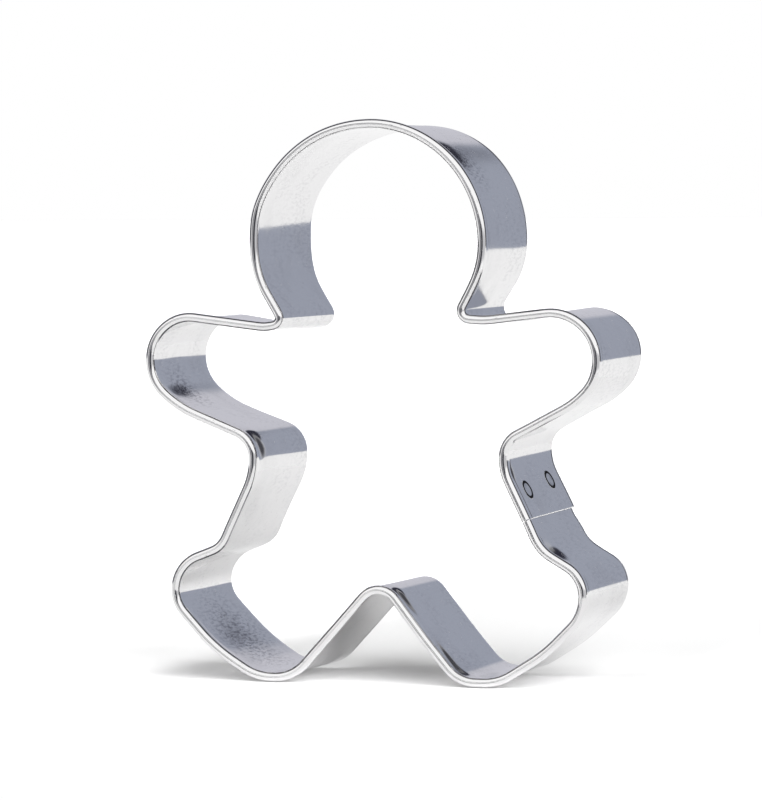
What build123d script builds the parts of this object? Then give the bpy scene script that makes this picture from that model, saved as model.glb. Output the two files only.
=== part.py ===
from build123d import *
import math
import os

# A cookie cutter in the shape of a gingerbread figure, standing on its two feet.
# One strip of sheet steel is folded back on itself along the rim, bent round the
# figure on edge, and closed on the right of the waist, where one end laps inside the
# other and two spot welds hold them. The folded rim faces -Y, the cutting edge +Y.
# All sizes are in millimetres.

os.makedirs("parts", exist_ok=True)

# The whole cutter, over the folded rim.
overall_width = 65.5
overall_height = 76.6
strip_width = 20.0

# The sheet and the folded rim. The fold is an open bead, rolled in a few flats, and the
# flap behind it is pressed towards the outside of the wall.
sheet_thickness = 0.4
bead_diameter = 1.25
bead_flats = 6
hem_depth = 1.9
hem_gap = 0.1

# The lapped ends on the waist and their spot welds.
lap_length = 7.2
lap_gap = 0.03
joggle_length = 1.0
joggle_lead = 0.15
joggle_radius = 0.5
hem_butt_gap = 0.12
weld_diameter = 2.8
front_weld_setback = 4.1
front_weld_depth = 6.3
rear_weld_setback = 4.8
rear_weld_inset = 4.2
electrode_mark_depth = 0.06

# Where the seam lies on the straight of the waist, from the hip towards the armpit.
seam_share = 0.361

# The corners of the outline before they are rounded, anticlockwise from the seam as
# seen from the rim. Each row is a place across as a share of half the span, a place up
# as a share of the height, and a bend radius as a share of the height. All three are
# taken on the middle of the bead.
right_arm_shares = [
    (0.590, 0.382, 0.106),
    (0.590, 0.433, 0.053),
    (0.900, 0.502, 0.160),
    (1.000, 0.545, 0.084),
    (1.000, 0.673, 0.090),
    (0.514, 0.649, 0.160),
]
head_shares = [
    (0.388, 0.652, 0.015),
    (0.503, 0.746, 0.160),
    (0.504, 1.004, 0.214),
    (-0.521, 0.996, 0.216),
    (-0.512, 0.738, 0.180),
    (-0.386, 0.640, 0.014),
]
left_arm_shares = [
    (-0.476, 0.635, 0.066),
    (-1.000, 0.664, 0.078),
    (-1.000, 0.538, 0.085),
    (-0.871, 0.489, 0.200),
    (-0.534, 0.431, 0.053),
    (-0.531, 0.368, 0.133),
]
left_leg_shares = [
    (-0.681, 0.237, 0.046),
    (-0.892, 0.204, 0.068),
    (-0.892, 0.134, 0.069),
    (-0.714, 0.050, 0.280),
    (-0.526, 0.000, 0.106),
    (-0.360, 0.000, 0.080),
    (0.036, 0.184, 0.041),
]
right_leg_shares = [
    (0.386, 0.000, 0.066),
    (0.560, 0.000, 0.100),
    (0.766, 0.054, 0.265),
    (0.935, 0.125, 0.078),
    (0.935, 0.192, 0.062),
    (0.747, 0.242, 0.082),
]

# Sizes that follow from those above.
bead_radius = bead_diameter / 2
half_span = overall_width / 2 - bead_radius
path_height = overall_height - bead_diameter
front_face = -strip_width / 2
leaf_offset = (sheet_thickness + hem_gap) / 2
leaf_face = sheet_thickness + hem_gap / 2
tab_offset = leaf_offset + sheet_thickness + lap_gap
weld_radius = weld_diameter / 2
rear_weld_depth = strip_width - rear_weld_inset


def outline_point(row):
    """The place of one corner, in the plane of the rim's face."""
    return Vector(row[0] * half_span, front_face, bead_radius + row[1] * path_height)


def inward_of(direction):
    """The unit vector from the strip towards the inside of the figure."""
    return direction.cross(Vector(0, 1, 0)).normalized()


def moved_sideways(points, axis, distance):
    """A line's points moved square to it and to an axis, with its corners kept sharp."""
    sides = [(end - start).cross(axis).normalized() for start, end in zip(points, points[1:])]
    moved = [points[0] + sides[0] * distance]
    for point, before, after in zip(points[1:], sides, sides[1:]):
        moved.append(point + (before + after) * (distance / (1 + before.dot(after))))
    moved.append(points[-1] + sides[-1] * distance)
    return moved


def bend_radii(points, wanted):
    """The radius at each inner corner, cut down where two bends would run together."""
    slopes = []
    for before, corner, after in zip(points, points[1:], points[2:]):
        turn = math.radians((corner - before).get_angle(after - corner))
        slopes.append(math.tan(turn / 2))
    reach = [0.0] + [radius * slope for radius, slope in zip(wanted, slopes)] + [0.0]
    for index, (start, end) in enumerate(zip(points, points[1:])):
        room = (end - start).length * 0.998
        need = reach[index] + reach[index + 1]
        if need > room:
            reach[index] = reach[index] * room / need
            reach[index + 1] = reach[index + 1] * room / need
    return [length / slope for length, slope in zip(reach[1:-1], slopes)]


def section_plane(path):
    """Square to the start of a path, X to the outside of the figure, Y to the back."""
    tangent = path % 0
    return Plane(origin=path @ 0, x_dir=-inward_of(tangent), z_dir=tangent)


def folded_section(wall_depth):
    """The sheet's section: the wall, the bead in flats and the flap outside the wall."""
    knee = math.degrees(math.acos(leaf_face / bead_radius))
    around = 180 + 2 * knee
    bead_middle = Vector(0, bead_radius, 0)
    spoke = Vector(bead_radius, 0, 0)
    skin = [Vector(-leaf_face, wall_depth, 0)]
    for flat in range(bead_flats + 1):
        angle = 180 - knee + around * flat / bead_flats
        skin.append(bead_middle + spoke.rotate(Axis.Z, angle))
    skin.append(Vector(leaf_face, hem_depth, 0))
    lining = moved_sideways(skin, Vector(0, 0, 1), -sheet_thickness)
    return make_face(Polyline(*skin, *reversed(lining), close=True))


# The seam, on the straight between the right hip and the right armpit.
corner_rows = right_arm_shares + head_shares + left_arm_shares + left_leg_shares + right_leg_shares
corners = [outline_point(row) for row in corner_rows]
hip_corner = corners[-1]
armpit_corner = corners[0]
upper_corner = corners[1]
waist_up = (armpit_corner - hip_corner).normalized()
waist_in = inward_of(waist_up)
seam = hip_corner + (armpit_corner - hip_corner) * seam_share
wall_end = seam - waist_up * joggle_length
butt_end = seam - waist_up * hem_butt_gap

# The strip, from its cut end at the seam round the figure to where the other end
# starts to step inwards.
path_points = [seam] + corners + [wall_end]
path_radii = bend_radii(path_points, [row[2] * path_height for row in corner_rows])
rim_path = Wire(FilletPolyline(*path_points, radius=path_radii).edges())
strip = sweep(section_plane(rim_path) * folded_section(strip_width), path=rim_path)

# The fold runs straight on to the seam.
butt_path = Wire(Line(wall_end, butt_end).edges())
strip += sweep(section_plane(butt_path) * folded_section(hem_depth), path=butt_path)

# The wall behind the fold steps in by one thickness and follows the inside of the
# first end, round the armpit's bend if it reaches that far.
inner_line = moved_sideways([seam, armpit_corner, upper_corner], Vector(0, 1, 0), tab_offset)
tab_points = [
    wall_end + waist_in * leaf_offset,
    wall_end + waist_in * leaf_offset + waist_up * joggle_lead,
    inner_line[0] - waist_up * joggle_lead,
    inner_line[1],
    inner_line[2],
]
tab_bends = [joggle_radius, joggle_radius, path_radii[0] + tab_offset]
tab_path = Wire(FilletPolyline(*tab_points, radius=tab_bends).edges())
tab_path = tab_path.trim(0, (joggle_length + lap_length) / tab_path.length)
tab_depth = strip_width - hem_depth
tab_section = Pos(0, hem_depth + tab_depth / 2) * Rectangle(sheet_thickness, tab_depth)
strip += sweep(section_plane(tab_path) * tab_section, path=tab_path)

# The spot welds go through both thicknesses. Their faces are pressed in a little.
weld_seat = seam + waist_in * (leaf_offset + tab_offset) / 2
both_sheets = sheet_thickness * 2 + lap_gap
weld_places = [(front_weld_setback, front_weld_depth), (rear_weld_setback, rear_weld_depth)]
welds = []
for setback, depth in weld_places:
    centre = weld_seat + waist_up * setback + Vector(0, depth, 0)
    place = Plane(origin=centre, x_dir=waist_up, z_dir=waist_in)
    strip -= place * Cylinder(weld_radius, both_sheets * 2)
    welds.append(place * Cylinder(weld_radius, both_sheets - electrode_mark_depth * 2))

pieces = {
    "cutter_strip": strip,
    "front_spot_weld": welds[0],
    "rear_spot_weld": welds[1],
}
for node, piece in pieces.items():
    export_step(piece.solid(), os.path.join("parts", node + ".step"))
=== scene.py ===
"""A gingerbread-figure cookie cutter of bent strip steel, standing on a pale floor."""
import logging
import math
from dataclasses import dataclass, field
from enum import Enum
from typing import Any, Dict, List, Optional, Sequence, Tuple

import bpy
import numpy as np
from mathutils import Matrix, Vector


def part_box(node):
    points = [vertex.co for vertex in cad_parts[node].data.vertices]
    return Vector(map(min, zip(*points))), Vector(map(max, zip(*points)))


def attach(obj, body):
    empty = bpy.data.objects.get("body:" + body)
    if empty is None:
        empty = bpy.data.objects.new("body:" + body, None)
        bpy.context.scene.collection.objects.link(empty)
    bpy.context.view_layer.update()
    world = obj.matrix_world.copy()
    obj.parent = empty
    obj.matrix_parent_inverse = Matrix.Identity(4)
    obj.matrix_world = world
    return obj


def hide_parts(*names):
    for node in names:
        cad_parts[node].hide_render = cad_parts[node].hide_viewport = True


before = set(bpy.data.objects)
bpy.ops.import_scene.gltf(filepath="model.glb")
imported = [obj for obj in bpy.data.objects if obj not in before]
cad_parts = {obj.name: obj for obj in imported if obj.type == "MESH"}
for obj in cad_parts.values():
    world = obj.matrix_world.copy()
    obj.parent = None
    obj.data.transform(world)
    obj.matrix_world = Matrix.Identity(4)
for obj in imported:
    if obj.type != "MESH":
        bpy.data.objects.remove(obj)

MM = 0.001
LOG = logging.getLogger("cookie_cutter")

# The outer radius of the rim's bead, in millimetres.
BEAD_RADIUS = 0.625

# The corners of the figure before they are rounded, anticlockwise from the seam as seen
# from the rim: place across as a share of half the span, place up as a share of the
# height, bend radius as a share of the height, all on the middle of the bead.
RIGHT_ARM = (
    (0.590, 0.382, 0.106),
    (0.590, 0.433, 0.053),
    (0.900, 0.502, 0.160),
    (1.000, 0.545, 0.084),
    (1.000, 0.673, 0.090),
    (0.514, 0.649, 0.160),
)
HEAD = (
    (0.388, 0.652, 0.015),
    (0.503, 0.746, 0.160),
    (0.504, 1.004, 0.214),
    (-0.521, 0.996, 0.216),
    (-0.512, 0.738, 0.180),
    (-0.386, 0.640, 0.014),
)
LEFT_ARM = (
    (-0.476, 0.635, 0.066),
    (-1.000, 0.664, 0.078),
    (-1.000, 0.538, 0.085),
    (-0.871, 0.489, 0.200),
    (-0.534, 0.431, 0.053),
    (-0.531, 0.368, 0.133),
)
LEFT_LEG = (
    (-0.681, 0.237, 0.046),
    (-0.892, 0.204, 0.068),
    (-0.892, 0.134, 0.069),
    (-0.714, 0.050, 0.280),
    (-0.526, 0.000, 0.106),
    (-0.360, 0.000, 0.080),
    (0.036, 0.184, 0.041),
)
RIGHT_LEG = (
    (0.386, 0.000, 0.066),
    (0.560, 0.000, 0.100),
    (0.766, 0.054, 0.265),
    (0.935, 0.125, 0.078),
    (0.935, 0.192, 0.062),
    (0.747, 0.242, 0.082),
)

# How far the hand-bent wall leans inwards at the cutting edge, or outwards where
# negative, in millimetres, at distances in millimetres along the strip from the seam.
WALL_LEAN = (
    (0.0, -0.85), (6.0, -0.75), (10.0, -0.50), (14.0, -0.15), (20.0, -0.10),
    (26.0, -0.15), (31.0, -0.50), (35.0, -0.25), (42.0, -0.20), (47.0, 0.10), (51.5, 0.60),
    (55.0, 0.15), (62.0, 0.00), (68.0, -0.15), (73.0, -0.40), (80.0, -0.30),
    (88.0, 0.30), (93.0, 0.55), (98.0, 0.40), (105.0, 0.30), (113.0, 0.60),
    (118.0, 0.40), (121.5, 0.20), (125.0, 0.45), (131.0, 0.35), (138.0, 0.15), (144.0, 0.05),
    (150.0, -0.05), (160.0, -0.10), (165.0, 0.10), (171.0, 0.20), (178.0, 0.05),
    (187.0, 0.25), (194.0, 0.10), (201.0, 0.20), (207.0, 0.00), (232.0, -0.10),
    (240.0, 0.00), (250.0, 0.10), (259.0, 0.20), (265.0, 0.10), (268.0, -0.10),
    (272.0, -0.50), (278.0, -0.40), (281.0, -0.70),
)

# How far the hand-bent rim itself strays inwards, or outwards where negative, in
# millimetres, at distances in millimetres along the strip from the seam.
RIM_STRAY = (
    (0.0, 0.06), (6.0, 0.12), (10.0, 0.00), (14.0, -0.12), (21.0, -0.12), (25.0, -0.10),
    (28.0, 0.02), (31.0, 0.05), (35.0, 0.12), (46.0, 0.12), (51.0, 0.10), (54.0, -0.05),
    (58.0, 0.00), (86.0, 0.00), (91.0, 0.10), (98.0, 0.08), (103.0, 0.00), (106.0, -0.16),
    (109.0, -0.32), (112.0, -0.16), (119.0, -0.22), (123.0, -0.05), (128.0, 0.05),
    (138.0, 0.12), (142.0, 0.15), (146.0, 0.05), (150.0, -0.07), (154.0, -0.05),
    (166.0, 0.00), (180.0, 0.06), (183.0, 0.24), (187.0, 0.26), (190.0, 0.10),
    (193.0, -0.14), (197.0, -0.10), (203.0, 0.00), (210.0, 0.02), (225.0, 0.00),
    (231.0, 0.05), (235.0, -0.10), (241.0, -0.20), (246.0, -0.10), (250.0, 0.01),
    (262.0, 0.00), (275.0, 0.00), (279.0, 0.16), (281.5, 0.10),
)

# The sheet's faint waves: how many go round the figure, their phase, how far that turns
# with each millimetre of depth, and their share of the ripple's height.
RIPPLES = (
    (17, 0.0, 0.09, 1.0),
    (29, 1.3, -0.12, 0.7),
    (47, 2.1, 0.3, 0.35),
)


def smooth_step(low: float, high: float, value: np.ndarray) -> np.ndarray:
    """Rise smoothly from 0 to 1.

    The value's share of the way from low to high, clipped, squared and times three
    less twice itself.

    Args:
        low: Where the rise begins.
        high: Where it ends.
        value: The places to work out.

    Returns:
        The height of the rise at each place.
    """
    share = np.clip((value - low) / (high - low), 0.0, 1.0)
    return share * share * (3.0 - 2.0 * share)


def turn_about(centre: Tuple[float, float], radius: float, start: float, end: float,
               count: int) -> np.ndarray:
    """Points on an arc: the centre plus the radius times the cosine and sine.

    Args:
        centre: The arc's centre.
        radius: Its radius.
        start: The angle that it starts at, in degrees.
        end: The angle that it ends at, in degrees.
        count: How many points there are, both ends among them.

    Returns:
        An array of points, one to a row.
    """
    angle = np.radians(np.linspace(start, end, count))
    return np.column_stack((centre[0] + radius * np.cos(angle),
                            centre[1] + radius * np.sin(angle)))


@dataclass
class RimLine:
    """The middle of the bead round the figure, as straights and bends that touch.

    Attributes:
        corners: The sharp corners and their bend radii, in shares.
        half_span: Half the width over the bead's middle, in millimetres.
        height: The height over the bead's middle, in millimetres.
        lift: The height of the bead's middle over the floor.
        seam_share: Where the seam lies on the last straight.
        softening: How far the start of a bend is spread along the strip.
        room: The share of a straight that the bends at its ends may take up.
    """

    corners: Sequence[Tuple[float, float, float]]
    half_span: float
    height: float
    lift: float
    seam_share: float = 0.361
    softening: float = 0.6
    room: float = 0.998
    spans: np.ndarray = field(init=False)
    bending: np.ndarray = field(init=False)
    headings: np.ndarray = field(init=False)
    starts: np.ndarray = field(init=False)
    marks: np.ndarray = field(init=False)

    def __post_init__(self) -> None:
        """Lay out the straights and bends in order from the seam."""
        rows = np.array(self.corners)
        points = np.column_stack((rows[:, 0] * self.half_span,
                                  self.lift + rows[:, 1] * self.height))
        seam = points[-1] + (points[0] - points[-1]) * self.seam_share
        line = np.vstack((seam, points, seam))
        edges = np.diff(line, axis=0)
        lengths = np.hypot(edges[:, 0], edges[:, 1])
        heading = np.arctan2(edges[:, 1], edges[:, 0])
        turns = (np.diff(heading) + math.pi) % (2 * math.pi) - math.pi
        slopes = np.tan(np.abs(turns) / 2)
        reach = np.concatenate(([0.0], rows[:, 2] * self.height * slopes, [0.0]))
        for index, length in enumerate(lengths):
            need = reach[index] + reach[index + 1]
            if need > length * self.room:
                reach[index:index + 2] *= length * self.room / need
        radii = reach[1:-1] / slopes
        self.spans = np.empty(2 * len(radii) + 1)
        self.spans[0::2] = lengths - reach[:-1] - reach[1:]
        self.spans[1::2] = radii * np.abs(turns)
        self.bending = np.zeros_like(self.spans)
        self.bending[1::2] = np.sign(turns) / radii
        turned = np.concatenate(([0.0], np.cumsum(self.spans * self.bending)[:-1]))
        self.headings = heading[0] + turned
        half = self.spans * self.bending / 2
        chord = self.spans * np.sinc(half / math.pi)
        aim = self.headings + half
        moves = np.column_stack((chord * np.cos(aim), chord * np.sin(aim)))
        self.starts = seam + np.vstack((np.zeros(2), np.cumsum(moves, axis=0)[:-1]))
        self.marks = np.concatenate(([0.0], np.cumsum(self.spans)))

    @property
    def length(self) -> float:
        """The whole way round, in millimetres."""
        return float(self.marks[-1])

    def piece_at(self, along: np.ndarray) -> np.ndarray:
        """The number of the straight or arc that each distance falls on."""
        piece = np.searchsorted(self.marks, along, side="right") - 1
        return np.clip(piece, 0, len(self.spans) - 1)

    def sharp_at(self, along: np.ndarray) -> Tuple[np.ndarray, np.ndarray]:
        """The place and heading on the straights and true arcs.

        A point lies at the end of the chord from the start of its own straight or arc.
        The chord is the distance times the sine of half the turn over half the turn,
        and points half the turn round from the starting heading.

        Args:
            along: Distances from the seam.

        Returns:
            The places and the unit headings, both across and up.
        """
        piece = self.piece_at(along)
        part = along - self.marks[piece]
        half = self.bending[piece] * part / 2
        chord = part * np.sinc(half / math.pi)
        aim = self.headings[piece] + half
        place = self.starts[piece] + chord[..., None] * np.stack((np.cos(aim), np.sin(aim)), -1)
        end = self.headings[piece] + 2 * half
        return place, np.stack((np.cos(end), np.sin(end)), -1)

    def at(self, along: np.ndarray) -> Tuple[np.ndarray, np.ndarray]:
        """The place on the rim and the way inwards, with the bends eased in and out.

        The mean of the sharp path's places over a short way each side, weighted as a
        raised cosine. The way inwards is a quarter turn to the left of the heading.

        Args:
            along: Distances from the seam.

        Returns:
            The places and the unit inward directions, both across and up.
        """
        spread = np.linspace(-0.9, 0.9, 9)
        weight = 1.0 + np.cos(math.pi * spread)
        weight = weight / weight.sum()
        place, heading = self.sharp_at(along[..., None] + spread * self.softening)
        place = (place * weight[:, None]).sum(-2)
        heading = (heading * weight[:, None]).sum(-2)
        heading = heading / np.linalg.norm(heading, axis=-1, keepdims=True)
        return place, np.stack((-heading[..., 1], heading[..., 0]), -1)

    def stations(self, start: float, end: float, straight_step: float,
                 turn_step: float) -> np.ndarray:
        """Distances to place sections at, close together on tight bends.

        Their number rises by one for each straight step, and for each turn step of
        turning, so equal parts of that count are read back as distances.

        Args:
            start: The first distance.
            end: The last distance.
            straight_step: The length of a step on a straight, in millimetres.
            turn_step: The turning that adds a step, in radians.

        Returns:
            The distances in rising order.
        """
        fine = np.linspace(start, end, 4000)
        rate = 1.0 / straight_step + np.abs(self.bending[self.piece_at(fine)]) / turn_step
        near = 10
        mean = np.full(2 * near + 1, 1 / (2 * near + 1))
        rate = np.convolve(np.pad(rate, near, mode="edge"), mean, mode="valid")
        count = np.concatenate(([0.0], np.cumsum((rate[1:] + rate[:-1]) / 2 * np.diff(fine))))
        wanted = np.linspace(0.0, count[-1], int(math.ceil(count[-1])) + 1)
        return np.interp(wanted, count, fine)


@dataclass(frozen=True)
class Dent:
    """A place where bending has pushed the wall in or out just behind the stiff hem.

    Attributes:
        along: Its distance from the seam, in millimetres.
        spread: How far it reaches each way along the strip.
        push: How far the wall is pushed inwards, or outwards where negative.
        fades_at: The depth at which the wall is back in line.
    """

    along: float
    spread: float
    push: float
    fades_at: float


BEND_DENTS = (
    Dent(6.7, 0.9, 0.20, 4.0),
    Dent(77.3, 4.0, 0.115, 6.5),
    Dent(153.0, 3.6, -0.11, 9.0),
    Dent(166.2, 3.2, -0.25, 4.8),
    Dent(200.0, 5.0, -0.12, 15.0),
    Dent(233.5, 4.0, -0.27, 4.2),
    Dent(246.0, 4.5, -0.25, 3.8),
    Dent(279.1, 1.9, 0.34, 6.6),
)


@dataclass
class BentWall:
    """How the strip's section is carried round the figure, with its hand-bent faults.

    Attributes:
        rim: The line that the bead's middle follows.
        front: The place of the rim's face, in millimetres.
        width: The strip's width, from the rim's face to the cutting edge.
        ripple: How far the sheet waves in and out behind the hem.
        hem_depth: How deep the stiff hem reaches.
        burr: How far the shears have turned the cutting edge outwards.
        burr_start: How far before the edge the burr begins.
        burr_full: How far before the edge it is at its full height.
        lap_step: How far the inner end of the strip steps in under the outer one.
        lap_run: How far before the seam it begins to.
        lap_rest: How far before the seam it has done so.
        lean_ease: How far each way along the strip the leaning is smoothed.
        stray_ease: How far each way along the strip the rim's straying is smoothed.
    """

    rim: RimLine
    front: float
    width: float
    ripple: float = 0.012
    hem_depth: float = 1.9
    burr: float = 0.03
    burr_start: float = 0.5
    burr_full: float = 0.2
    lap_step: float = 0.43
    lap_run: float = 3.2
    lap_rest: float = 0.25
    lean_ease: float = 2.5
    stray_ease: float = 1.2

    def eased(self, table: Sequence[Tuple[float, float]], along: np.ndarray,
              reach: float) -> np.ndarray:
        """A table read round the figure, as the mean over a short way each side.

        Args:
            table: Distances from the seam and the values there.
            along: Distances from the seam to read it at.
            reach: How far each way the mean is taken.

        Returns:
            The mean at each distance.
        """
        marks, values = np.array(table).T
        spread = np.linspace(-reach, reach, 9)
        around = np.interp(along[..., None] + spread, marks, values, period=self.rim.length)
        return around.mean(-1)

    def wave(self, along: np.ndarray, depth: np.ndarray) -> np.ndarray:
        """A faint waviness behind the hem.

        The sum of the ripples, each a sine of the turn round the figure times its
        number, plus its phase and its slant times the depth.

        Args:
            along: Distances from the seam.
            depth: Depths behind the rim's face.

        Returns:
            Offsets in millimetres.
        """
        turn = 2 * math.pi * along / self.rim.length
        waves = sum(share * np.sin(turn * number + phase + slant * depth)
                    for number, phase, slant, share in RIPPLES)
        return self.ripple * waves * smooth_step(self.hem_depth, self.width * 0.6, depth)

    def dented(self, along: np.ndarray, depth: np.ndarray) -> np.ndarray:
        """How far the wall is pushed inwards by its bending.

        Each dent is a bell along the strip times a quick rise at the hem's end and a
        slow fade behind it, and the burr along the cutting edge has no bell.

        Args:
            along: Distances from the seam.
            depth: Depths behind the rim's face.

        Returns:
            Offsets in millimetres.
        """
        stiff, free = self.hem_depth - 0.35, self.hem_depth + 0.15
        rise = smooth_step(stiff, free, depth)
        edge = smooth_step(self.width - self.burr_start, self.width - self.burr_full, depth)
        total = -self.burr * edge
        for dent in BEND_DENTS:
            bell = np.exp(-((along - dent.along) / dent.spread) ** 2)
            fade = 1.0 - smooth_step(free, dent.fades_at, depth)
            total = total + dent.push * bell * rise * fade
        return total

    def stepped(self, along: np.ndarray, depth: np.ndarray) -> np.ndarray:
        """How far the last of the wall has stepped in on its way to the lap.

        The step times a smooth rise along the strip and another at the hem's end.

        Args:
            along: Distances from the seam.
            depth: Depths behind the rim's face.

        Returns:
            Offsets in millimetres.
        """
        run = smooth_step(-self.lap_run, -self.lap_rest, along - self.rim.length)
        behind = smooth_step(self.hem_depth - 0.3, self.hem_depth + 0.3, depth)
        return self.lap_step * run * behind

    def place(self, along: np.ndarray, inward: np.ndarray, depth: np.ndarray) -> np.ndarray:
        """Put points of the section at their places in space.

        The rim's place plus the way inwards times the offset, the rim's straying, the
        lean's share, the wave and the dents. The lean grows as the depth.

        Args:
            along: Distances from the seam.
            inward: Offsets from the bead's middle towards the inside of the figure.
            depth: Depths behind the rim's face.

        Returns:
            Places in metres, across, back and up.
        """
        along, inward, depth = np.broadcast_arrays(along, inward, depth)
        middle, side = self.rim.at(along)
        share = np.clip(depth / self.width, 0.0, 1.0)
        stray = self.eased(RIM_STRAY, along, self.stray_ease)
        offset = inward + stray + self.eased(WALL_LEAN, along, self.lean_ease) * share
        offset = offset + self.wave(along, depth) + self.dented(along, depth)
        flat = middle + side * offset[..., None]
        return np.stack((flat[..., 0], self.front + depth, flat[..., 1]), -1) * MM


class Skin:
    """Closed shells gathered into one mesh, with a UV map in metres along and around."""

    def __init__(self) -> None:
        """Start with nothing in it."""
        self.points: List[np.ndarray] = []
        self.quads: List[np.ndarray] = []
        self.quad_uvs: List[np.ndarray] = []
        self.caps: List[np.ndarray] = []
        self.total = 0

    def add_tube(self, grid: np.ndarray, along: np.ndarray, around: np.ndarray) -> None:
        """Add a section carried along a path, closed round itself and capped at both ends.

        Args:
            grid: Places, sections first and points of the section second.
            along: The distance of each section, in millimetres.
            around: The distance of each point round the section, with the closing one last.
        """
        rows, columns = grid.shape[:2]
        index = self.total + np.arange(rows * columns).reshape(rows, columns)
        ahead = np.roll(index, -1, axis=1)
        quads = np.stack((index[:-1], ahead[:-1], ahead[1:], index[1:]), -1).reshape(-1, 4)
        low, high = (np.broadcast_to(side, (rows - 1, columns))
                     for side in (around[:-1], around[1:]))
        near, far = (np.repeat(end[:, None], columns, 1) for end in (along[:-1], along[1:]))
        uvs = np.stack((near, low, near, high, far, high, far, low), -1).reshape(-1, 4, 2) * MM
        self.points.append(grid.reshape(-1, 3))
        self.quads.append(quads)
        self.quad_uvs.append(uvs)
        self.caps += [index[0][::-1], index[-1]]
        self.total += rows * columns

    def build(self, name: str, sharp_angle: float) -> bpy.types.Object:
        """Make the object at the origin.

        Args:
            name: The piece's name.
            sharp_angle: Edges that turn by more than this many degrees stay crisp.

        Returns:
            The new object, linked to the scene.
        """
        points = np.vstack(self.points)
        quads = np.vstack(self.quads)
        uvs = np.vstack(self.quad_uvs).reshape(-1, 2)
        a, b, c, d = (points[quads[:, corner]] for corner in range(4))
        volume = sum(np.einsum("ij,ij->i", a, normal).sum()
                     for normal in (np.cross(b, c), np.cross(c, d)))
        if volume < 0:
            quads = quads[:, ::-1]
            uvs = uvs.reshape(-1, 4, 2)[:, ::-1].reshape(-1, 2)
            self.caps = [cap[::-1] for cap in self.caps]
        sizes = np.array([4] * len(quads) + [len(cap) for cap in self.caps], dtype=np.int32)
        corners = np.concatenate([quads.ravel()] + self.caps).astype(np.int32)
        starts = np.concatenate(([0], np.cumsum(sizes)[:-1])).astype(np.int32)
        mesh = bpy.data.meshes.new(name)
        mesh.vertices.add(len(points))
        mesh.vertices.foreach_set("co", points.ravel().astype(np.float32))
        mesh.loops.add(len(corners))
        mesh.loops.foreach_set("vertex_index", corners)
        mesh.polygons.add(len(sizes))
        mesh.polygons.foreach_set("loop_start", starts)
        mesh.polygons.foreach_set("use_smooth", np.ones(len(sizes), dtype=bool))
        layer = mesh.uv_layers.new(name="along_and_around")
        cap_uvs = np.zeros((len(corners) - len(uvs), 2))
        layer.data.foreach_set("uv", np.vstack((uvs, cap_uvs)).ravel().astype(np.float32))
        mesh.update(calc_edges=True)
        mesh.validate()
        mesh.set_sharp_from_angle(angle=math.radians(sharp_angle))
        piece = bpy.data.objects.new(name, mesh)
        bpy.context.scene.collection.objects.link(piece)
        return piece


def way_round(section: np.ndarray) -> np.ndarray:
    """The distance round a closed section at each point, and back at the first."""
    steps = np.linalg.norm(np.diff(np.vstack((section, section[:1])), axis=0), axis=1)
    return np.concatenate(([0.0], np.cumsum(steps)))


class Signal:
    """One output of a node, which takes part in sums written as Python."""

    def __init__(self, nodes: "Nodes", socket: bpy.types.NodeSocket) -> None:
        """Keep the socket and the tree that it belongs to."""
        self.nodes = nodes
        self.socket = socket

    def _sum(self, operation: str, first: Any, second: Any) -> "Signal":
        """Add a Math node for one operation on two values."""
        return self.nodes.math(operation, first, second)

    def __add__(self, other: Any) -> "Signal":
        """The sum with another value."""
        return self._sum("ADD", self, other)

    def __radd__(self, other: Any) -> "Signal":
        """The sum with another value."""
        return self._sum("ADD", other, self)

    def __sub__(self, other: Any) -> "Signal":
        """What is left after another value is taken away."""
        return self._sum("SUBTRACT", self, other)

    def __rsub__(self, other: Any) -> "Signal":
        """What is left of another value after this is taken away."""
        return self._sum("SUBTRACT", other, self)

    def __mul__(self, other: Any) -> "Signal":
        """The product with another value."""
        return self._sum("MULTIPLY", self, other)

    def __rmul__(self, other: Any) -> "Signal":
        """The product with another value."""
        return self._sum("MULTIPLY", other, self)

    def __truediv__(self, other: Any) -> "Signal":
        """This over another value."""
        return self._sum("DIVIDE", self, other)


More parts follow.
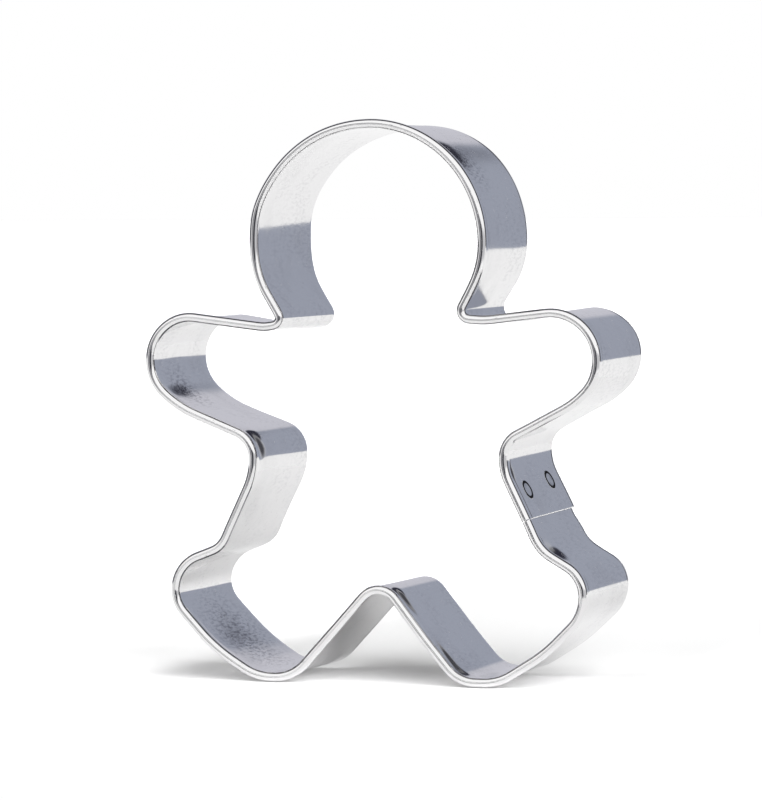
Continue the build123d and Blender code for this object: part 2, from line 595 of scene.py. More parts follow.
class Nodes:
    """The node tree of one material or world, with short ways to fill it."""

    def __init__(self, tree: bpy.types.NodeTree) -> None:
        """Empty the tree and start afresh.

        Args:
            tree: The tree to fill.
        """
        self.tree = tree
        tree.nodes.clear()

    def add(self, kind: str, settings: Optional[Dict[str, Any]] = None,
            sockets: Optional[Dict[Any, Any]] = None) -> bpy.types.Node:
        """Add a node, set it up, then fill or link its sockets.

        Args:
            kind: The node's type.
            settings: Properties of the node, set first.
            sockets: Values or signals by socket name or number.

        Returns:
            The node.
        """
        node = self.tree.nodes.new(kind)
        for name, value in (settings or {}).items():
            setattr(node, name, value)
        for name, value in (sockets or {}).items():
            if isinstance(value, Signal):
                self.tree.links.new(value.socket, node.inputs[name])
            else:
                node.inputs[name].default_value = value
        return node

    def signal(self, node: bpy.types.Node, output: Any = 0) -> Signal:
        """One output of a node as a signal."""
        return Signal(self, node.outputs[output])

    def math(self, operation: str, *values: Any) -> Signal:
        """A Math node's result for some values."""
        node = self.add("ShaderNodeMath", {"operation": operation}, dict(enumerate(values)))
        return self.signal(node)

    def vector_math(self, operation: str, first: Any, second: Any) -> Signal:
        """The number that a Vector Math node makes of two vectors."""
        node = self.add("ShaderNodeVectorMath", {"operation": operation}, {0: first, 1: second})
        return self.signal(node, "Value")

    def part(self, place: Signal, axis: int) -> Signal:
        """One of the three numbers of a place."""
        return self.signal(self.add("ShaderNodeSeparateXYZ", None, {0: place}), axis)

    def rise(self, value: Signal, low: float, high: float, to_low: float = 0.0,
             to_high: float = 1.0) -> Signal:
        """A smooth rise of a value between two marks.

        Args:
            value: What to read.
            low: The mark where the rise begins.
            high: The mark where it ends.
            to_low: The result at and before the first mark.
            to_high: The result at and after the second.

        Returns:
            The result.
        """
        sockets = {"Value": value, 1: low, 2: high, 3: to_low, 4: to_high}
        node = self.add("ShaderNodeMapRange", {"interpolation_type": "SMOOTHSTEP"}, sockets)
        return self.signal(node)

    def blend(self, share: Any, first: Any, second: Any) -> Signal:
        """A colour part of the way from one to another."""
        sockets = {0: share, 6: first, 7: second}
        node = self.add("ShaderNodeMix", {"data_type": "RGBA"}, sockets)
        return self.signal(node, 2)

    def coordinates(self, kind: str) -> Signal:
        """The Object coordinates, in metres, or the UV map, in metres along and around."""
        return self.signal(self.add("ShaderNodeTexCoord"), kind)

    def placed(self, place: Signal, scale: Tuple[float, float, float],
               move: Tuple[float, float, float] = (0.0, 0.0, 0.0)) -> Signal:
        """Coordinates times a scale, then moved."""
        sockets = {"Vector": place, "Scale": scale, "Location": move}
        return self.signal(self.add("ShaderNodeMapping", None, sockets))

    def noise(self, place: Signal, scale: float, detail: float = 2.0, rough: float = 0.5,
              swirl: float = 0.0) -> Signal:
        """Cloudy noise from 0 to 1 at some places."""
        sockets = {"Vector": place, "Scale": scale, "Detail": detail, "Roughness": rough,
                   "Distortion": swirl}
        return self.signal(self.add("ShaderNodeTexNoise", None, sockets))

    def bump(self, height: Signal) -> Signal:
        """The normal of a surface raised by a height in metres."""
        sockets = {"Strength": 1.0, "Distance": 1.0, "Height": height}
        return self.signal(self.add("ShaderNodeBump", None, sockets))

    def glow(self, colour: Any, level: Any = 1.0) -> Signal:
        """A shader that gives off light of a colour."""
        sockets = {"Color": colour, "Strength": level}
        return self.signal(self.add("ShaderNodeEmission", None, sockets))

    def surface(self, shader: Signal, kind: str = "Material") -> None:
        """Lead a shader to the output of the material or the world."""
        self.add("ShaderNodeOutput" + kind, None, {"Surface": shader})


def new_material(name: str) -> Tuple[bpy.types.Material, Nodes]:
    """Start a material.

    Args:
        name: Its name.

    Returns:
        The material and its empty node tree.
    """
    made = bpy.data.materials.new(name)
    made.use_nodes = True
    return made, Nodes(made.node_tree)


@dataclass(frozen=True)
class ShadePatch:
    """A patch of painted shade: dark specks in the wall's colour that stand in for dark
    reflections.

    Attributes:
        along: The distance of its middle from the seam, in millimetres.
        depth: The depth of its middle behind the rim's face.
        reach: How far it reaches all round.
        strength: How dark its middle is painted, from 0 to 1.
    """

    along: float
    depth: float
    reach: float
    strength: float


# Patches of painted shade, dark specks in the steel's colour that stand in for dark reflections on
# the wall.
SHADE_PATCHES = (
    ShadePatch(73.5, 6.0, 8.0, 0.8),
    ShadePatch(152.5, 8.0, 7.5, 0.9),
    ShadePatch(165.0, 18.5, 3.4, 1.0),
    ShadePatch(201.5, 11.0, 11.0, 1.0),
    ShadePatch(234.5, 9.5, 3.6, 1.0),
    ShadePatch(278.0, 4.0, 4.0, 0.7),
)


@dataclass(frozen=True)
class SteelFinish:
    """Bright rolled stainless steel as it comes from the mill, handled a little, with painted
    shade in patches.

    Attributes:
        name: The material's name.
        colour: The metal's own colour.
        smudged: Its colour where fingers have dulled it.
        speck_and_shade_colour: Its colour in the dark specks, faint all over and dense in the
            patches of painted shade.
        roughness: How blurred its reflections are where it is clean.
        smudge_roughness: How much more blurred a smudge is.
        streak_height: The height of the rolling streaks, in metres.
        peel_height: The height of the fine grain where the sheet is worn, and in the patches of
            painted shade.
        cloud_scale: How many clouds of smudges there are in a metre.
        film_scale: The same of the wide, faint film.
        rub_scale: The same of the faintly worn places.
        streak_grain: The scale of the rolling streaks, along the strip and around.
        speck_grain: The same of the specks, faint all over and dense in the painted shade.
        nick_grain: The same of the stray nicks.
        ragged: How far a shade patch's border strays, in metres.
        clear: The depths between which the wear and the painted shade set in, in millimetres.
    """

    name: str
    colour: Tuple[float, float, float, float]
    smudged: Tuple[float, float, float, float]
    speck_and_shade_colour: Tuple[float, float, float, float]
    roughness: float
    smudge_roughness: float
    streak_height: float
    peel_height: float
    cloud_scale: float = 110.0
    film_scale: float = 45.0
    rub_scale: float = 140.0
    streak_grain: Tuple[float, float, float] = (60.0, 9000.0, 1.0)
    speck_grain: Tuple[float, float, float] = (2300.0, 800.0, 1.0)
    nick_grain: Tuple[float, float, float] = (700.0, 5200.0, 1.0)
    ragged: float = 0.006
    clear: Tuple[float, float] = (1.2, 2.0)

    def wear_and_shade(self, nodes: Nodes, spot: Signal, film: Signal, wall: BentWall) -> Signal:
        """How much each place is worn: faintly here and there, and most in the patches of painted
        shade.

        Args:
            nodes: The tree to add to.
            spot: The place on the piece.
            film: The noise that makes a shade patch's border ragged.
            wall: The wall that the shade patches are on.

        Returns:
            The wear and painted shade, from 0 to 1, and none of it on the rim.
        """
        worn_and_shaded = nodes.rise(nodes.noise(spot, self.rub_scale, 2.0, 0.5), 0.42, 0.62, 0.03, 0.16)
        sheet_middle = np.array(0.25)
        # Each patch paints shade into the colour, strongest in its middle and none past its reach.
        for shade_patch in SHADE_PATCHES:
            middle = wall.place(np.array(shade_patch.along), sheet_middle, np.array(shade_patch.depth))
            away = nodes.vector_math("DISTANCE", spot, tuple(middle.tolist()))
            reach = shade_patch.reach * MM
            patch = nodes.rise(away + film * self.ragged, 0.2 * reach, 1.3 * reach,
                               shade_patch.strength, 0.0)
            worn_and_shaded = nodes.math("MAXIMUM", worn_and_shaded, patch)
        start, full = ((wall.front + depth) * MM for depth in self.clear)
        return worn_and_shaded * nodes.rise(nodes.part(spot, 1), start, full)

    def material(self, wall: BentWall) -> bpy.types.Material:
        """Make the material: clouds of smudges, rolling streaks, patches of painted shade and
        stray nicks.

        Args:
            wall: The wall that the shade patches are on.

        Returns:
            The material.
        """
        made, nodes = new_material(self.name)
        spot = nodes.coordinates("Object")
        sheet = nodes.coordinates("UV")
        cloud = nodes.rise(nodes.noise(spot, self.cloud_scale, 3.0, 0.55), 0.50, 0.75)
        film = nodes.noise(spot, self.film_scale, 3.0, 0.5)
        streak = nodes.noise(nodes.placed(sheet, self.streak_grain), 1.0, 3.0, 0.6)
        speck_place = nodes.placed(sheet, self.speck_grain, (1.0, 4.0, 0.0))
        speck = nodes.noise(speck_place, 1.0, 3.0, 0.65)
        nick_place = nodes.placed(sheet, self.nick_grain, (3.0, 7.0, 0.0))
        scratch = nodes.rise(nodes.noise(nick_place, 1.0, 1.0, 0.4, 0.6), 0.74, 0.79)
        worn_and_shaded = self.wear_and_shade(nodes, spot, film, wall)
        shade = nodes.blend(cloud * 0.5, self.colour, self.smudged)
        # Painted shade: dark specks darken the colour, faintly all over and densely in the shade
        # patches.
        shade = nodes.blend(nodes.rise(speck, 0.42, 0.66) * worn_and_shaded, shade, self.speck_and_shade_colour)
        rough = self.roughness + cloud * self.smudge_roughness + film * 0.03 + scratch * 0.12
        grain = speck * worn_and_shaded * self.peel_height
        height = streak * self.streak_height - scratch * self.peel_height + grain
        shader = nodes.add("ShaderNodeBsdfPrincipled", None, {
            "Base Color": shade,
            "Metallic": 1.0,
            "Roughness": rough,
            "Normal": nodes.bump(height),
        })
        nodes.surface(nodes.signal(shader))
        return made


@dataclass(frozen=True)
class WeldFinish:
    """The duller face that an electrode leaves, with a dark ring drawn in the groove round it.

    Attributes:
        name: The material's name.
        colour: The pressed metal's colour.
        dark_tone: The colour in the groove.
        roughness: How blurred its reflections are.
        grain_scale: How many grains there are in a metre.
        grain_height: The height of the grain, in metres.
    """

    name: str
    colour: Tuple[float, float, float, float]
    dark_tone: Tuple[float, float, float, float]
    roughness: float
    grain_scale: float = 2600.0
    grain_height: float = 0.00002

    def material(self, groove_start: float, groove_end: float) -> bpy.types.Material:
        """Make the material, with the groove read from the piece's own UV map.

        Args:
            groove_start: The groove's inner radius, in metres.
            groove_end: Its outer radius.

        Returns:
            The material.
        """
        made, nodes = new_material(self.name)
        spot = nodes.coordinates("Object")
        middle = (groove_start + groove_end) / 2
        width = (groove_end - groove_start) / 2
        off = nodes.math("ABSOLUTE", nodes.part(nodes.coordinates("UV"), 1) - middle)
        # The groove's ring is drawn near black in the colour.
        ring = nodes.rise(off, 0.7 * width, width, 1.0, 0.0)
        grain = nodes.noise(spot, self.grain_scale, 3.0, 0.6)
        cloud = nodes.rise(nodes.noise(spot, 700.0, 2.0), 0.45, 0.75)
        metal = nodes.add("ShaderNodeBsdfPrincipled", None, {
            "Base Color": nodes.blend(cloud * 0.5, self.colour, self.dark_tone),
            "Metallic": 1.0,
            "Roughness": self.roughness + grain * 0.08,
            "Normal": nodes.bump(grain * self.grain_height),
        })
        dull = nodes.add("ShaderNodeBsdfDiffuse", None, {"Color": self.dark_tone})
        sockets = {0: ring, 1: nodes.signal(metal), 2: nodes.signal(dull)}
        nodes.surface(nodes.signal(nodes.add("ShaderNodeMixShader", None, sockets)))
        return made


@dataclass
class CutterStrip:
    """The one strip of sheet, folded at the rim, bent to the figure and lapped at the waist.

    Attributes:
        wall: How its section is carried round the figure.
        sheet: The sheet's thickness, in millimetres.
        bead_radius: The outer radius of the bead.
        hem_gap: The gap between the wall and the flap.
        neck_radius: The bend radius, on the sheet's middle, where bead meets wall and flap.
        lap_length: How far the inner end runs past the seam.
        lap_gap: The gap between the lapped ends.
        joggle_length: The way over which the inner end steps in.
        butt_gap: The gap where the folds meet.
        cut_skew: How far off square the outer end is cut, at the cutting edge.
        skew_run: How far along the strip its sections are askew with it.
        edge_round: The radius worn on the sheet's cut edges.
        crease: The depth of the faint crease along the bead's top.
        end_round: The radius to which the lapped outer end is rounded over.
        pressed_line: How deep the hemming tool has pressed the outer face beside the flap.
        pressed_from: How far behind the flap that begins to fade.
        pressed_to: How far behind the flap it ends.
        straight_step: The length between sections on a straight.
        turn_step: The turning between sections on a bend, in radians.
        sharp_angle: Edges that turn by more than this many degrees stay crisp.
    """

    wall: BentWall
    sheet: float = 0.4
    bead_radius: float = BEAD_RADIUS
    hem_gap: float = 0.1
    neck_radius: float = 0.4
    lap_length: float = 7.2
    lap_gap: float = 0.03
    joggle_length: float = 1.0
    butt_gap: float = 0.12
    cut_skew: float = 0.25
    skew_run: float = 2.0
    edge_round: float = 0.06
    crease: float = 0.016
    end_round: float = 0.19
    pressed_line: float = 0.08
    pressed_from: float = 1.1
    pressed_to: float = 1.5
    straight_step: float = 0.66
    turn_step: float = 0.15
    sharp_angle: float = 42.0

    @property
    def leaf_offset(self) -> float:
        """From the bead's middle to the middle of the wall's sheet."""
        return (self.sheet + self.hem_gap) / 2

    def cut_edge(self, inner: float, outer: float, depth: float) -> np.ndarray:
        """The rounded end of a sheet, from one face to the other.

        A quarter turn from the first face to the end, and another to the second face.

        Args:
            inner: The offset of the face that it starts on.
            outer: The offset of the face that it ends on.
            depth: The depth of the end.

        Returns:
            Points of the section.
        """
        worn = self.edge_round
        if outer > inner:
            first, second, start, end = inner + worn, outer - worn, 180, 0
        else:
            first, second, start, end = inner - worn, outer + worn, 0, 180
        return np.vstack((turn_about((first, depth - worn), worn, start, 90, 4),
                          turn_about((second, depth - worn), worn, 90, end, 4)))

    def creased_bead(self, knee: float) -> np.ndarray:
        """The outside of the bead, with the faint crease that folding leaves along its top.

        A circle whose radius is less by a bell about the top.

        Args:
            knee: The angle, in degrees, by which the circle goes past its sides.

        Returns:
            Points of the section, from the wall's side to the flap's.
        """
        near_top = np.array([-13.0, -9.0, -6.5, -4.5, -2.5, 0.0, 2.5, 4.5, 6.5, 9.0, 13.0])
        angle = np.radians(np.concatenate((np.linspace(knee, -72.0, 11), -90.0 - near_top,
                                           np.linspace(-108.0, -180.0 - knee, 11))))
        bell = np.exp(-((angle + math.pi / 2) / math.radians(4.5)) ** 2)
        radius = self.bead_radius - self.crease * bell
        return np.column_stack((radius * np.cos(angle),
                                self.bead_radius + radius * np.sin(angle)))

    def wall_rows(self, wall_depth: float) -> np.ndarray:
        """Depths of the wall's rows behind the hem, close near it and by the cutting edge.

        Args:
            wall_depth: The depth of the wall's cut edge.

        Returns:
            The depths in rising order.
        """
        share = np.linspace(0.0, 1.0, 15)
        start = self.wall.hem_depth + 1.8
        rows = start + (wall_depth - 0.8 - start) * (0.45 * share + 0.55 * share ** 2)
        by_edge = wall_depth - np.array([0.6, 0.5, 0.425, 0.35, 0.275, 0.2, 0.12])
        return np.concatenate((rows, by_edge))

    def folded_section(self, wall_depth: float) -> np.ndarray:
        """The closed section of the sheet, as offsets inwards and depths.

        It runs down the wall's inner face, through the neck's arc, round the bead, up the
        flap and over its end, and back on the lining to the wall's outer face. Each neck
        arc touches the leaf, and touches the bead where their radii add up.

        Args:
            wall_depth: The depth of the wall's cut edge.

        Returns:
            The section's points, one to a row.
        """
        half = self.sheet / 2
        core = self.bead_radius - half
        sideways = self.leaf_offset + self.neck_radius
        behind = math.sqrt((core + self.neck_radius) ** 2 - sideways ** 2)
        neck_depth = self.bead_radius + behind
        knee = math.degrees(math.atan2(behind, sideways))
        inside, outside = self.leaf_offset + half, self.leaf_offset - half
        flap_depth = self.wall.hem_depth
        near_neck, far_neck = (sideways, neck_depth), (-sideways, neck_depth)
        tight, wide = self.neck_radius - half, self.neck_radius + half
        if wall_depth > flap_depth:
            low, high = flap_depth + self.pressed_from, flap_depth + self.pressed_to
            run = np.concatenate((np.linspace(neck_depth + 0.2, flap_depth + 0.9, 6),
                                  np.linspace(low - 0.05, high + 0.05, 7),
                                  self.wall_rows(wall_depth)))
            outer_run = outside + self.pressed_line * (1.0 - smooth_step(low, high, run))
        else:
            run = np.array([neck_depth + 0.2, wall_depth - 0.2])
            outer_run = np.full(len(run), outside + self.pressed_line)
        return np.vstack((
            turn_about(near_neck, tight, 180, 180 + knee, 4),
            self.creased_bead(knee)[1:-1],
            turn_about(far_neck, tight, -knee, 0, 4),
            [(-inside, neck_depth + 0.3), (-inside, flap_depth - 0.25)],
            self.cut_edge(-inside, -outside, flap_depth),
            [(-outside, flap_depth - 0.3)],
            turn_about(far_neck, wide, 0, -knee, 4),
            turn_about((0.0, self.bead_radius), core - half, -180 - knee, knee, 13)[1:-1],
            turn_about(near_neck, wide, 180 + knee, 180, 4),
            np.column_stack((outer_run, run)),
            self.cut_edge(outside, inside, wall_depth),
            np.column_stack((np.full(len(run), inside), run[::-1])),
        ))

    def tab_section(self) -> np.ndarray:
        """The closed section of the lapped tab: the bare sheet, from the hem to the edge.

        Returns:
            The section's points, as offsets from the sheet's middle and depths.
        """
        half = self.sheet / 2
        low, high = self.wall.hem_depth + 0.02, self.wall.width
        depths = np.concatenate((np.linspace(low + 0.1, low + 0.9, 5), self.wall_rows(high)))
        faces = np.full(len(depths), half)
        return np.vstack((
            np.column_stack((-faces, depths)),
            self.cut_edge(-half, half, high),
            np.column_stack((faces, depths[::-1])),
            self.cut_edge(half, -half, 0.0) * (1.0, -1.0) + (0.0, low),
        ))

    def rounded_over(self, along: np.ndarray, inward: np.ndarray,
                     depth: np.ndarray) -> np.ndarray:
        """How far the outer end's outer face falls away at its cut, behind the hem.

        A quarter circle: its radius less the root of the radius squared less the
        square of what is left of the way to where it begins.

        Args:
            along: Distances from the cut end.
            inward: Offsets of the section's points from the bead's middle.
            depth: Their depths.

        Returns:
            Offsets in millimetres.
        """
        left = np.clip(self.end_round - along, 0.0, self.end_round)
        fall = self.end_round - np.sqrt(self.end_round ** 2 - left ** 2)
        behind = smooth_step(self.wall.hem_depth, self.wall.hem_depth + 0.3, depth)
        outside = np.clip((self.leaf_offset - inward) / (self.sheet / 2), 0.0, 1.0)
        return fall * behind * outside

    def build(self, name: str) -> bpy.types.Object:
        """Make the strip's three shells: the long run, the butted fold and the lapped tab.

        Args:
            name: The piece's name.

        Returns:
            The object.
        """
        skin = Skin()
        rim = self.wall.rim
        wall_end = rim.length - self.joggle_length
        section = self.folded_section(self.wall.width)
        rounded = self.end_round * (1.0 - np.cos(np.linspace(0.0, math.pi / 2, 9)[:-1]))
        run = rim.stations(self.end_round, wall_end, self.straight_step, self.turn_step)
        along = np.concatenate((rounded, run))
        inward, depth = section[None, :, 0], section[None, :, 1]
        skew = self.cut_skew * np.clip(1.0 - along / self.skew_run, 0.0, 1.0)
        offset = inward + self.wall.stepped(along[:, None], depth)
        offset = offset + self.rounded_over(along[:, None], inward, depth)
        shifted = along[:, None] + skew[:, None] * depth / self.wall.width
        skin.add_tube(self.wall.place(shifted, offset, depth), along, way_round(section))

        fold = self.folded_section(self.wall.hem_depth)
        along = np.linspace(wall_end, rim.length - self.butt_gap, 4)
        grid = self.wall.place(along[:, None], fold[None, :, 0], fold[None, :, 1])
        skin.add_tube(grid, along, way_round(fold))

        tab = self.tab_section()
        along = np.concatenate((np.linspace(-self.joggle_length, 0.2, 31),
                                np.linspace(0.6, self.lap_length, 16)))
        step = self.wall.stepped(along[:, None] + rim.length, tab[None, :, 1])
        offset = self.leaf_offset + step + tab[None, :, 0]
        grid = self.wall.place(along[:, None], offset, tab[None, :, 1])
        skin.add_tube(grid, along, way_round(tab))
        return skin.build(name, self.sharp_angle)

    def dress(self, piece: bpy.types.Object, finish: SteelFinish) -> None:
        """Give the strip its finish and its place in the frame.

        Args:
            piece: The strip's object.
            finish: The steel that it is made of.
        """
        piece.data.materials.append(finish.material(self.wall))
        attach(piece, "root")
        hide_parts("cutter_strip")


@dataclass
class SpotWeld:
    """One spot weld: a shallow mark with a groove round it on each side of the lap.

    Attributes:
        strip: The strip that it holds.
        node: The name of the solid that it stands for.
        setback: The distance of its middle from the seam, in millimetres.
        depth: The depth of its middle behind the rim's face.
        radius: The mark's radius.
        height: How far the mark's border stands up.
        groove_width: The groove's width.
        groove_inset: How far inside the border it ends.
        groove_bell: How far its bell reaches each way.
        overlap: How far the shell runs on under the sheet.
        rings: How many points there are round the mark.
        sharp_angle: Edges that turn by more than this many degrees stay crisp.
    """

    strip: CutterStrip
    node: str
    setback: float
    depth: float
    radius: float = 1.4
    height: float = 0.03
    groove_width: float = 0.48
    groove_inset: float = 0.02
    groove_bell: float = 0.08
    overlap: float = 0.03
    rings: int = 64
    sharp_angle: float = 50.0

    @property
    def groove(self) -> Tuple[float, float]:
        """The groove's inner and outer radius, in millimetres."""
        end = self.radius - self.groove_inset
        return end - self.groove_width, end

    def mark_height(self, out: np.ndarray) -> np.ndarray:
        """The mark's height over the sheet at a distance from its middle.

        A dish that is low in the middle, less a groove shaped like a bell near the rim,
        all of it over the sheet until it falls below it at the very edge.

        Args:
            out: Distances from the middle, in millimetres.

        Returns:
            Heights in millimetres.
        """
        start, end = self.groove
        share = out / self.radius
        bell = np.exp(-((out - (start + end) / 2) / self.groove_bell) ** 2)
        edge = smooth_step(end, self.radius + self.overlap, out)
        return self.height * (0.55 + 0.45 * share ** 4 - 0.45 * bell - 2.0 * edge)

    def build(self, name: str) -> bpy.types.Object:
        """Make the weld as one closed shell: a face on each side, joined through the sheets.

        Args:
            name: The piece's name.

        Returns:
            The object.
        """
        start, _ = self.groove
        out = np.concatenate((np.linspace(0.02, start - 0.06, 9),
                              np.linspace(start, self.radius + self.overlap, 20)))
        strip = self.strip
        mark = self.mark_height(out)
        outer = strip.leaf_offset - strip.sheet / 2 - mark
        inner = strip.leaf_offset + strip.sheet * 1.5 + strip.lap_gap + mark
        offset = np.repeat(np.concatenate((outer, inner[::-1]))[:, None], self.rings, 1)
        radius = np.concatenate((out, out[::-1]))
        angle = np.linspace(0.0, 2 * math.pi, self.rings, endpoint=False)
        along = self.setback + radius[:, None] * np.cos(angle)
        depth = self.depth + radius[:, None] * np.sin(angle)
        skin = Skin()
        skin.add_tube(strip.wall.place(along, offset, depth), radius,
                      self.radius * np.linspace(0.0, 2 * math.pi, self.rings + 1))
        skin.quad_uvs[0] = skin.quad_uvs[0][:, :, ::-1]
        return skin.build(name, self.sharp_angle)

    def dress(self, piece: bpy.types.Object, finish: WeldFinish) -> None:
        """Give the weld its finish and its place in the frame.

        Args:
            piece: The weld's object.
            finish: The pressed metal of its faces.
        """
        start, end = self.groove
        piece.data.materials.append(finish.material(start * MM, end * MM))
        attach(piece, "root")
        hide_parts(self.node)


class StudioTone(Enum):
    """The tones of the studio's surfaces, as linear colours."""

    FLOOR = (0.88, 0.88, 0.88, 1.0)
    WHITE = (1.0, 1.0, 1.0, 1.0)
    FRONT = (1.15, 1.15, 1.15, 1.0)
    FRONT_BAND = (0.62, 0.62, 0.64, 1.0)
    REAR_HAZE = (0.360, 0.385, 0.460, 1.0)
    LEFT_HAZE = (0.60, 0.60, 0.66, 1.0)
    CEILING = (0.03, 0.03, 0.045, 1.0)
    SIDE_SHADE = (0.07, 0.07, 0.08, 1.0)
    CAMERA_GAP = (0.06, 0.06, 0.07, 1.0)


@dataclass(frozen=True)
class SoftLamp:
    """One broad soft lamp.

    Attributes:
        name: Its name.
        level: How strongly it lights.
        breadth: How broad it looks from the cutter, in degrees.
        height: How high it stands over the floor, in degrees.
        aside: How far to the right of straight in front, in degrees.
    """

    name: str
    level: float
    breadth: float
    height: float
    aside: float


SOFT_LAMPS = (
    SoftLamp("right_soft_lamp", 4.7, 54.0, 29.0, 45.0),
    SoftLamp("left_soft_lamp", 0.8, 34.0, 40.0, -30.0),
)


@dataclass(frozen=True)
class LongLens:
    """The camera, before the rim and a little to the right of it.

    Attributes:
        place: Where it stands, in metres.
        pan: How far it is turned to the left, in degrees.
        dip: How far it looks down.
        roll: How far it is turned about the line from rim to cutting edge.
        focal_length: The lens, in millimetres.
        sensor_width: The width of its picture, in millimetres.
        clip: The nearest and farthest that it sees, in metres.
    """

    place: Tuple[float, float, float] = (0.23583, -0.6523, 0.0696)
    pan: float = 20.0
    dip: float = 2.756
    roll: float = 0.4754
    focal_length: float = 228.06
    sensor_width: float = 36.0
    clip: Tuple[float, float] = (0.01, 50.0)

    def build(self) -> None:
        """Stand the camera in its place and look through it."""
        lens = bpy.data.cameras.new("camera")
        lens.lens = self.focal_length
        lens.sensor_width = self.sensor_width
        lens.clip_start, lens.clip_end = self.clip
        stand = bpy.data.objects.new("camera", lens)
        roll = Matrix.Rotation(math.radians(self.roll), 4, "Y")
        pan = Matrix.Rotation(math.radians(self.pan), 4, "Z")
        tilt = Matrix.Rotation(math.radians(90.0 - self.dip), 4, "X")
        stand.matrix_world = Matrix.Translation(self.place) @ roll @ pan @ tilt
        bpy.context.scene.collection.objects.link(stand)
        bpy.context.scene.camera = stand


@dataclass
class Studio:
    """The pale floor, the soft lamps, the drapes that the steel reflects, and the camera.

    Attributes:
        lens: The camera.
        toward_camera: The unit direction from the cutter to the camera.
        floor_lift: What the floor adds of its own, so that unshaded it is white.
        painted_light_aside: The same away to the sides, painted light that washes out the cutter's
            cast shadow there.
        near_lift: The same where the steel reflects it.
        sky_level: How strongly the surroundings light the floor.
        fade: How far to each side the floor's lift begins and ends its change, in metres.
        floor_reach: How far the floor reaches each way, in metres.
        near_reach: The same of the part of it that the steel reflects.
        drape_radius: How far off the drapes hang, in metres.
    """

    lens: LongLens = LongLens()
    toward_camera: Tuple[float, float, float] = (0.3420, -0.9386, 0.0452)
    floor_lift: float = 0.15
    painted_light_aside: float = 0.50
    near_lift: float = 0.08
    sky_level: float = 0.12
    fade: Tuple[float, float] = (0.029, 0.042)
    floor_reach: float = 6.0
    near_reach: float = 0.15
    drape_radius: float = 0.8

    def seen(self, nodes: Nodes) -> Signal:
        """One for rays from the camera, a mirror or glass, and nought for the rest.

        Args:
            nodes: The tree to add to.

        Returns:
            The number for each ray.
        """
        path = nodes.add("ShaderNodeLightPath")
        camera, glossy, through = (nodes.signal(path, "Is %s Ray" % kind)
                                   for kind in ("Camera", "Glossy", "Transmission"))
        return nodes.math("MINIMUM", camera + glossy + through, 1.0)

    def stage_piece(self, name: str, points: np.ndarray, quads: np.ndarray,
                    unseen_by: Sequence[str]) -> bpy.types.Object:
        """Link a piece of the studio that isn't part of the cutter.

        Args:
            name: The object's name.
            points: Its corners, in metres.
            quads: Its faces.
            unseen_by: The kinds of rays that pass it by.

        Returns:
            The object, marked as stage.
        """
        mesh = bpy.data.meshes.new(name)
        mesh.from_pydata(points.tolist(), [], quads.tolist())
        piece = bpy.data.objects.new(name, mesh)
        bpy.context.scene.collection.objects.link(piece)
        for kind in unseen_by:
            setattr(piece, "visible_" + kind, False)
        return piece

    def floor_paint(self, name: str, lift: float, painted_light_aside: float) -> bpy.types.Material:
        """White paint, lifted where the camera sees it, so that it is white out of the shadow.

        Args:
            name: The material's name.
            lift: How much it adds of its own by the cutter.
            painted_light_aside: How much it adds away to the sides, painted light over the cast
                shadow.

        Returns:
            The material.
        """
        made, nodes = new_material(name)
        paint = nodes.add("ShaderNodeBsdfDiffuse", None, {"Color": StudioTone.FLOOR.value})
        # Painted light: the floor's glow grows towards the sides and washes out the cutter's cast
        # shadow there.
        aside = nodes.math("ABSOLUTE", nodes.part(nodes.coordinates("Object"), 0))
        level = self.seen(nodes) * nodes.rise(aside, *self.fade, lift, painted_light_aside)
        sockets = {0: nodes.signal(paint), 1: nodes.glow(StudioTone.WHITE.value, level)}
        nodes.surface(nodes.signal(nodes.add("ShaderNodeAddShader", None, sockets)))
        return made

    def floor(self) -> None:
        """Lay the pale floor, and the part of it near the cutter that the steel reflects."""
        square = np.array([(-1.0, -1.0, 0.0), (1.0, -1.0, 0.0), (1.0, 1.0, 0.0), (-1.0, 1.0, 0.0)])
        quad = np.array([(0, 1, 2, 3)])
        below, just_below = (0.0, 0.0, 0.1 * MM), (0.0, 0.0, 0.02 * MM)
        wide = self.stage_piece("pale_floor", square * self.floor_reach - below, quad,
                                ("glossy", "shadow"))
        near = self.stage_piece("pale_floor_near", square * self.near_reach - just_below, quad,
                                ("camera", "diffuse", "shadow"))
        wide.data.materials.append(
            self.floor_paint("pale_floor_paint", self.floor_lift, self.painted_light_aside))
        near.data.materials.append(
            self.floor_paint("pale_floor_near_paint", self.near_lift, self.near_lift))

    def world(self) -> None:
        """Make the white surroundings, which light the floor more softly than they look."""
        made = bpy.data.worlds.new("white_surroundings")
        made.use_nodes = True
        bpy.context.scene.world = made
        nodes = Nodes(made.node_tree)
        seen = self.seen(nodes)
        sockets = {"Color": StudioTone.WHITE.value, "Strength": seen + (1 - seen) * self.sky_level}
        nodes.surface(nodes.signal(nodes.add("ShaderNodeBackground", None, sockets)), "World")

    def drapes(self) -> None:
        """Hang the drapes that the steel reflects, all round, out of the camera's rays.

        A ball about the cutter. It is white in front and below, with a grey band at the
        level of the camera and a dark gap in it, dark at both sides and grey behind.
        """
        around = np.linspace(0.0, 2 * math.pi, 65)[None, :]
        down = np.linspace(0.0, math.pi, 33)[:, None]
        points = np.stack((np.sin(down) * np.cos(around), np.sin(down) * np.sin(around),
                           np.cos(down) * np.ones_like(around)), -1) * self.drape_radius
        rows, columns = points.shape[:2]
        index = np.arange(rows * columns).reshape(rows, columns)
        quads = np.stack((index[:-1, :-1], index[:-1, 1:], index[1:, 1:], index[1:, :-1]), -1)
        drape = self.stage_piece("studio_drapes", points.reshape(-1, 3), quads.reshape(-1, 4),
                                 ("camera", "diffuse", "shadow"))
        drape.data.materials.append(self.drape_cloth())

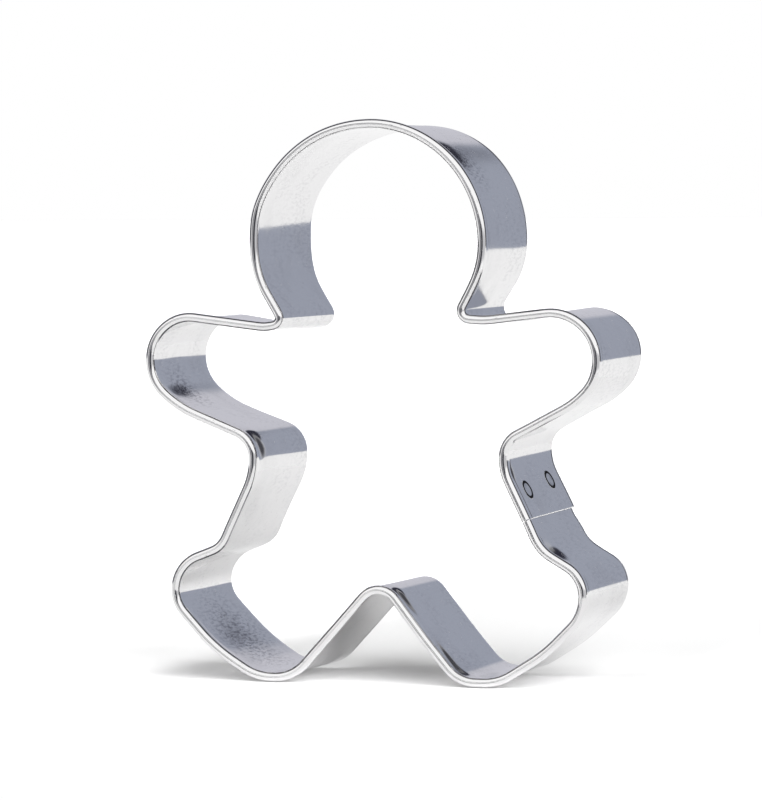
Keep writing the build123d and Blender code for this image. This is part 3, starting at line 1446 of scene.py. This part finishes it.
    def drape_cloth(self) -> bpy.types.Material:
        """The drapes' tones by direction from the cutter.

        Returns:
            The material.
        """
        made, nodes = new_material("studio_drape_cloth")
        spot = nodes.coordinates("Object")
        right, back, up = (nodes.part(spot, axis) / self.drape_radius for axis in range(3))
        toward = nodes.vector_math("DOT_PRODUCT", spot, self.toward_camera) / self.drape_radius
        over = nodes.rise(up, 0.002, 0.010)
        left_over = nodes.rise(up, 0.03, 0.07)
        lit_side = nodes.rise(right, -0.2, 0.0)
        side = nodes.rise(toward, -0.70, -0.60) * nodes.rise(toward, 0.05, 0.12, 1.0, 0.0)
        side = side * (over * lit_side + left_over * (1 - lit_side))
        rear = nodes.rise(toward, -0.70, -0.60, 1.0, 0.0) * over
        haze = nodes.blend(nodes.rise(right, -0.12, -0.03), StudioTone.LEFT_HAZE.value,
                           StudioTone.REAR_HAZE.value)
        ceiling = nodes.rise(up, 0.405, 0.46) * nodes.rise(right, -0.11, -0.05)
        haze = nodes.blend(ceiling, haze, StudioTone.CEILING.value)
        level = nodes.math("ABSOLUTE", up)
        aside = nodes.math("ABSOLUTE", right - 0.09)
        front = nodes.rise(toward, 0.1, 0.3)
        tone = nodes.blend(front, StudioTone.WHITE.value, StudioTone.FRONT.value)
        band = front * nodes.rise(level, 0.12, 0.24, 1.0, 0.0)
        tone = nodes.blend(band, tone, StudioTone.FRONT_BAND.value)
        gap = nodes.rise(aside, 0.42, 0.54, 1.0, 0.0) * nodes.rise(level, 0.15, 0.25, 1.0, 0.0)
        gap = gap * nodes.rise(back, -0.6, -0.5, 1.0, 0.0)
        tone = nodes.blend(gap, tone, StudioTone.CAMERA_GAP.value)
        tone = nodes.blend(side, tone, StudioTone.SIDE_SHADE.value)
        nodes.surface(nodes.glow(nodes.blend(rear, tone, haze)))
        return made

    def lamps(self) -> None:
        """Set the soft lamps, turned up by their height and round by their way aside."""
        for lamp in SOFT_LAMPS:
            light = bpy.data.lights.new(lamp.name, "SUN")
            light.energy = lamp.level
            light.angle = math.radians(lamp.breadth)
            holder = bpy.data.objects.new(lamp.name, light)
            tilt = Matrix.Rotation(math.radians(90.0 - lamp.height), 4, "X")
            pan = Matrix.Rotation(math.radians(lamp.aside), 4, "Z")
            holder.matrix_world = pan @ tilt
            holder.visible_glossy = False
            bpy.context.scene.collection.objects.link(holder)

    def build(self) -> None:
        """Set up the whole studio."""
        self.floor()
        self.world()
        self.drapes()
        self.lamps()
        self.lens.build()


def main() -> None:
    """Build the cutter's pieces in order, dress them and set up the studio."""
    logging.basicConfig(level=logging.INFO, format="%(name)s: %(message)s")
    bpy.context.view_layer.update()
    bpy.context.scene.view_settings.view_transform = "Standard"
    low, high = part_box("cutter_strip")
    span, depth, height = (float(high[axis] - low[axis]) / MM for axis in range(3))
    rim = RimLine(
        corners=RIGHT_ARM + HEAD + LEFT_ARM + LEFT_LEG + RIGHT_LEG,
        half_span=span / 2 - BEAD_RADIUS,
        height=height - 2 * BEAD_RADIUS,
        lift=BEAD_RADIUS,
    )
    LOG.info("rim path: %.2f mm round", rim.length)
    wall = BentWall(rim=rim, front=float(low[1]) / MM, width=depth)
    strip = CutterStrip(wall=wall)
    steel = SteelFinish(
        name="bright_rolled_steel",
        colour=(0.82, 0.815, 0.82, 1.0),
        smudged=(0.70, 0.695, 0.70, 1.0),
        speck_and_shade_colour=(0.24, 0.24, 0.27, 1.0),
        roughness=0.07,
        smudge_roughness=0.06,
        streak_height=0.0000003,
        peel_height=0.00003,
    )
    weld_finish = WeldFinish(
        name="electrode_mark",
        colour=(0.70, 0.705, 0.72, 1.0),
        dark_tone=(0.01, 0.01, 0.012, 1.0),
        roughness=0.12,
    )
    piece = strip.build("bent_strip")
    strip.dress(piece, steel)
    LOG.info("%s: %d faces", piece.name, len(piece.data.polygons))
    for weld in (
        SpotWeld(strip=strip, node="front_spot_weld", setback=4.1, depth=6.3),
        SpotWeld(strip=strip, node="rear_spot_weld", setback=4.8, depth=15.8),
    ):
        mark = weld.build(weld.node.replace("spot_weld", "weld_mark"))
        weld.dress(mark, weld_finish)
        LOG.info("%s: %d faces", mark.name, len(mark.data.polygons))
    Studio().build()
    LOG.info("studio: floor, surroundings, drapes, lamps and camera")


if __name__ == "__main__":
    main()
